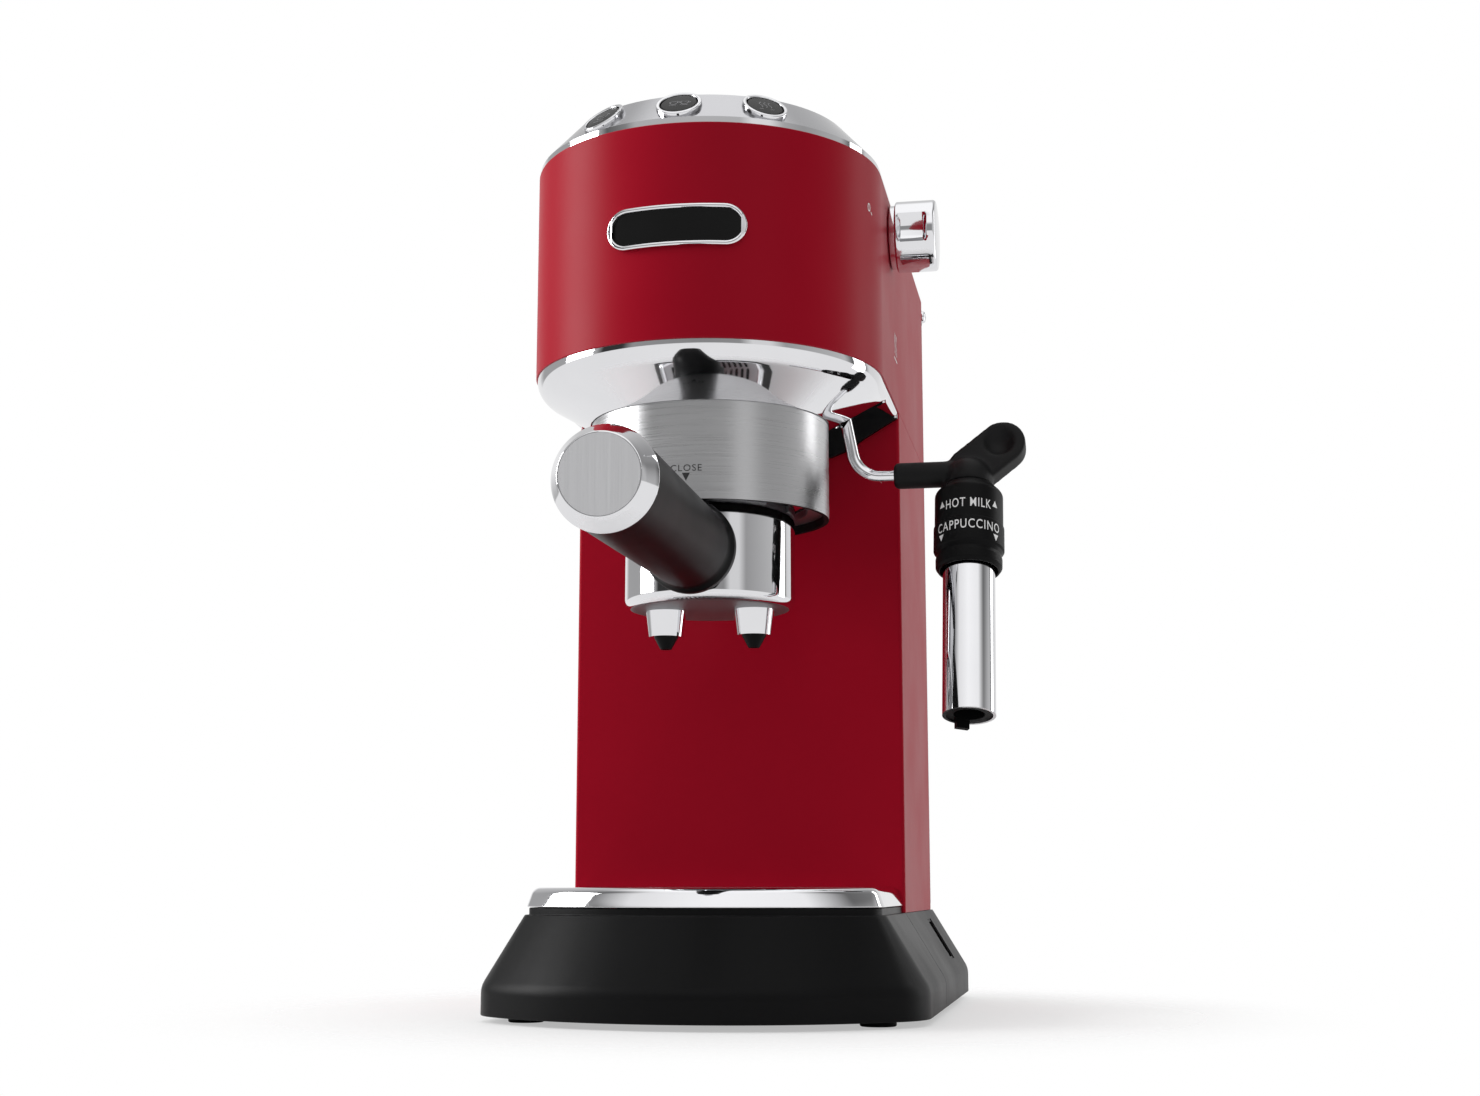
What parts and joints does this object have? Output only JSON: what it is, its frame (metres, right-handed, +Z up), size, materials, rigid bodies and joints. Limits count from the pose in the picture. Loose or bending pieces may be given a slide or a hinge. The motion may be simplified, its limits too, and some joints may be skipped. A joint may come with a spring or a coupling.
{
  "type": "pump espresso machine",
  "caption": "Slim pump espresso machine: round head, filter holder with two spouts, steam wand with frother, drip tray and lift-out water tank.",
  "frame": {"origin": "on the table, in the middle of the machine's outline seen from above: between the base's left edge and the elbow's finger tab, and between the handle's end and the gland", "axes": "+X to the right seen from the front, +Y to the back, +Z up"},
  "size_m": [0.1822, 0.3208, 0.3034],
  "materials": {
    "body_red": "matte",
    "black_plastic": "satin",
    "rubber": "matte",
    "chrome": "polished",
    "satin_panel": "satin",
    "brushed_steel": "brushed",
    "float_red": "gloss",
    "tank_grey": "translucent",
    "lid_grey": "satin",
    "cast_alloy": "cast",
    "brass": "machined",
    "pump_body": "satin",
    "hose": "satin",
    "steel_sheet": "satin",
    "switches": "satin",
    "board": "satin"
  },
  "bodies": {
    "machine": {"base_shell": "black_plastic", "base_plate": "black_plastic", "rubber_feet": "rubber", "base_screws": "brushed_steel", "switch_housing": "black_plastic", "cord_gland": "black_plastic", "column_shell": "body_red", "head_shell": "body_red", "skirt": "chrome", "underside_fairing": "black_plastic", "badge_rim": "chrome", "badge_plate": "black_plastic", "control_panel": "satin_panel", "button_bezels": "chrome", "button_switches": "switches", "cup_warmer": "brushed_steel", "group_collar": "brushed_steel", "group_head": "cast_alloy", "group_gasket": "rubber", "shower_screen": "brushed_steel", "screen_screw": "brushed_steel", "steam_valve": "brass", "steam_tubes": "brushed_steel", "wand_bush": "black_plastic", "chassis": "steel_sheet", "thermoblock": "cast_alloy", "pump": "pump_body", "pump_mounts": "rubber", "water_hoses": "hose", "control_board": "board", "tank_dock": "black_plastic", "dock_seal": "rubber"},
    "power_rocker": {"switch_rocker": "black_plastic"},
    "tray": {"drip_tray": "black_plastic"},
    "cup_grid": {"grid_rim": "chrome", "grid_plate": "brushed_steel"},
    "level_float": {"tray_float": "float_red"},
    "one_cup_key": {"button_one_cup": "black_plastic"},
    "two_cups_key": {"button_two_cups": "black_plastic"},
    "steam_key": {"button_steam": "black_plastic"},
    "filter_holder": {"portafilter_body": "chrome", "filter_basket": "brushed_steel", "spouts": "chrome", "spout_tips": "black_plastic", "handle_stud": "brushed_steel", "handle_grip": "black_plastic", "handle_cap": "chrome", "cap_disc": "brushed_steel"},
    "knob": {"steam_knob": "chrome", "valve_spindle": "brushed_steel"},
    "steam_wand": {"wand_pipe": "chrome", "wand_elbow": "rubber", "wand_nozzle": "black_plastic"},
    "frother": {"frother_collar": "black_plastic", "frother_sleeve": "chrome", "frother_insert": "black_plastic"},
    "tank": {"water_tank": "tank_grey", "tank_valve": "black_plastic"},
    "tank_cover": {"tank_lid": "lid_grey"}
  },
  "joints": [
    {"name": "power_rock", "type": "hinge", "parent": "machine", "child": "power_rocker", "pos_m": [0.0469, 0.1182, 0.02193], "axis": [0, 1, 0], "range_deg": [0, 10]},
    {"name": "tray_pull", "type": "slide", "parent": "machine", "child": "tray", "axis": [0, -1, 0], "range_m": [0, 0.115]},
    {"name": "grid_lift", "type": "slide", "parent": "tray", "child": "cup_grid", "axis": [0, 0, 1], "range_m": [0, 0.03]},
    {"name": "float_rise", "type": "slide", "parent": "tray", "child": "level_float", "axis": [0, 0, 1], "range_m": [0, 0.008]},
    {"name": "filter_holder_turn", "type": "hinge", "parent": "machine", "child": "filter_holder", "pos_m": [-0.0166, -0.0061, 0.18], "axis": [0, 0, 1], "range_deg": [-45, 8]},
    {"name": "steam_knob_turn", "type": "hinge", "parent": "machine", "child": "knob", "pos_m": [0.0442, 0.0242, 0.276], "axis": [1, 0, 0], "range_deg": [0, 110]},
    {"name": "wand_swing", "type": "hinge", "parent": "machine", "child": "steam_wand", "pos_m": [0.0287, 0.0112, 0.205], "axis": [-0.1908, 0, 0.9816], "range_deg": [-45, 30]},
    {"name": "frother_slide", "type": "slide", "parent": "steam_wand", "child": "frother", "axis": [0, -0.2588, -0.9659], "range_m": [0, 0.006]},
    {"name": "tank_lift", "type": "slide", "parent": "machine", "child": "tank", "axis": [0, 0, 1], "range_m": [0, 0.252]},
    {"name": "lid_open", "type": "hinge", "parent": "tank", "child": "tank_cover", "pos_m": [-0.0166, 0.1546, 0.2836], "axis": [-1, 0, 0], "range_deg": [0, 100]},
    {"name": "one_cup_press", "type": "slide", "parent": "machine", "child": "one_cup_key", "axis": [0.3672, 0.6359, -0.6788], "range_m": [0, 0.0012], "stiffness_N_per_m": 1000, "springref_m": -0.0006},
    {"name": "two_cups_press", "type": "slide", "parent": "machine", "child": "two_cups_key", "axis": [0, 0.7343, -0.6788], "range_m": [0, 0.0012], "stiffness_N_per_m": 1000, "springref_m": -0.0006},
    {"name": "steam_press", "type": "slide", "parent": "machine", "child": "steam_key", "axis": [-0.3672, 0.6359, -0.6788], "range_m": [0, 0.0012], "stiffness_N_per_m": 1000, "springref_m": -0.0006}
  ]
}
